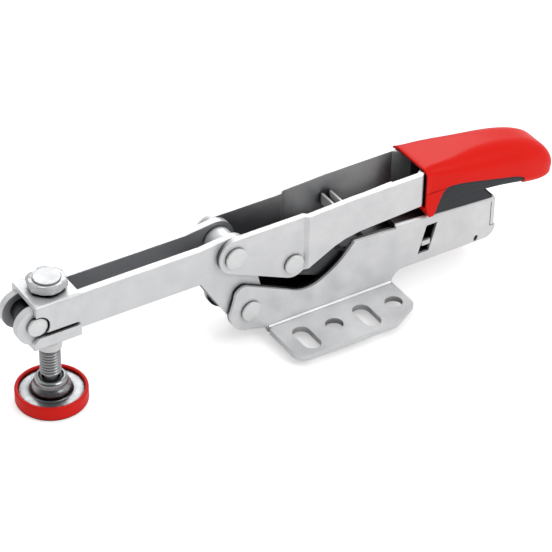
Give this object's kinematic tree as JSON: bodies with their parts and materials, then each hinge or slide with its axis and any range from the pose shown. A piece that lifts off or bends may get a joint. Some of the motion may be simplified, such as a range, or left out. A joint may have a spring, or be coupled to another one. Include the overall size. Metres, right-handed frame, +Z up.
{
  "type": "toggle clamp",
  "caption": "Horizontal toggle clamp: open arm with a sliding screw spindle and swivel pad, linked handle with a soft grip, flanged base with an inner wedge.",
  "frame": {"origin": "centre of the four round mounting holes, on the underside of the flanges", "axes": "+X towards the grip, -X towards the pad, -Y the left side, +Z up, away from the mounting surface"},
  "size_m": [0.2337, 0.0644, 0.0559],
  "materials": {
    "black_plastic": "matt",
    "grey_insert": "matt moulded",
    "red_cap": "satin moulded",
    "red_grip": "satin moulded",
    "spring_steel": "bright zinc plating",
    "zinc_arm": "bright zinc plating",
    "zinc_base": "bright zinc plating",
    "zinc_handle": "bright zinc plating",
    "zinc_inner": "bright zinc plating",
    "zinc_pad": "bright zinc plating",
    "zinc_rivet": "bright zinc plating",
    "zinc_saddle": "bright zinc plating",
    "zinc_spindle": "bright zinc plating"
  },
  "bodies": {
    "base": {"base_frame": "zinc_base", "arm_rivet": "zinc_rivet", "wedge_spring": "spring_steel"},
    "wedge": {"wedge_bar": "zinc_inner"},
    "adjuster": {"adjuster_block": "zinc_inner"},
    "arm": {"arm_bar_left": "zinc_arm", "arm_bar_right": "zinc_arm", "arm_sleeve": "zinc_inner", "handle_sleeve": "zinc_inner", "tip_rivet": "zinc_rivet", "tip_spacer": "zinc_inner"},
    "carriage": {"top_saddle": "zinc_saddle", "lower_saddle": "zinc_saddle"},
    "spindle": {"spindle": "zinc_spindle"},
    "pad": {"pad_disc": "zinc_pad", "pad_ring": "black_plastic", "pad_cap": "red_cap"},
    "handle": {"handle_plate_left": "zinc_handle", "handle_plate_right": "zinc_handle", "handle_rivet": "zinc_rivet", "link_rivet": "zinc_rivet", "handle_strut": "zinc_inner", "grip_shell": "red_grip", "grip_insert": "grey_insert"},
    "link": {"toggle_link": "zinc_inner", "link_pin": "zinc_rivet"}
  },
  "joints": [
    {"name": "arm_pivot", "type": "hinge", "parent": "base", "child": "arm", "pos_m": [-0.0436, 0, 0.0134], "axis": [0, 1, 0], "range_deg": [0, 75]},
    {"name": "handle_pivot", "type": "hinge", "parent": "arm", "child": "handle", "pos_m": [-0.0503, 0, 0.0398], "axis": [0, 1, 0], "range_deg": [-142.15, 0]},
    {"name": "link_pivot", "type": "hinge", "parent": "handle", "child": "link", "pos_m": [-0.0252, 0, 0.028], "axis": [0, 1, 0], "range_deg": [0, 132.25]},
    {"name": "wedge_slide", "type": "slide", "parent": "base", "child": "wedge", "axis": [0.2776, 0, 0.9607], "range_m": [-0.0028, 0.005], "deforming": ["wedge_spring"]},
    {"name": "block_slide", "type": "slide", "parent": "base", "child": "adjuster", "axis": [1, 0, 0], "range_m": [-0.0009, 0.0015]},
    {"name": "saddle_slide", "type": "slide", "parent": "arm", "child": "carriage", "axis": [1, 0, 0], "range_m": [0, 0.032]},
    {"name": "spindle_lift", "type": "slide", "parent": "carriage", "child": "spindle", "axis": [0, 0, 1], "range_m": [0, 0.006]},
    {"name": "pad_tilt", "type": "hinge", "parent": "spindle", "child": "pad", "pos_m": [-0.1223, 0, 0.0045], "axis": [0, 1, 0], "range_deg": [-10, 10]}
  ],
  "couplings": [
    {"joint": "handle_pivot", "follows": "arm_pivot", "ratio": -1.8947},
    {"joint": "link_pivot", "follows": "arm_pivot", "ratio": 1.7627},
    {"joint": "block_slide", "follows": "wedge_slide", "ratio": 0.27764}
  ]
}
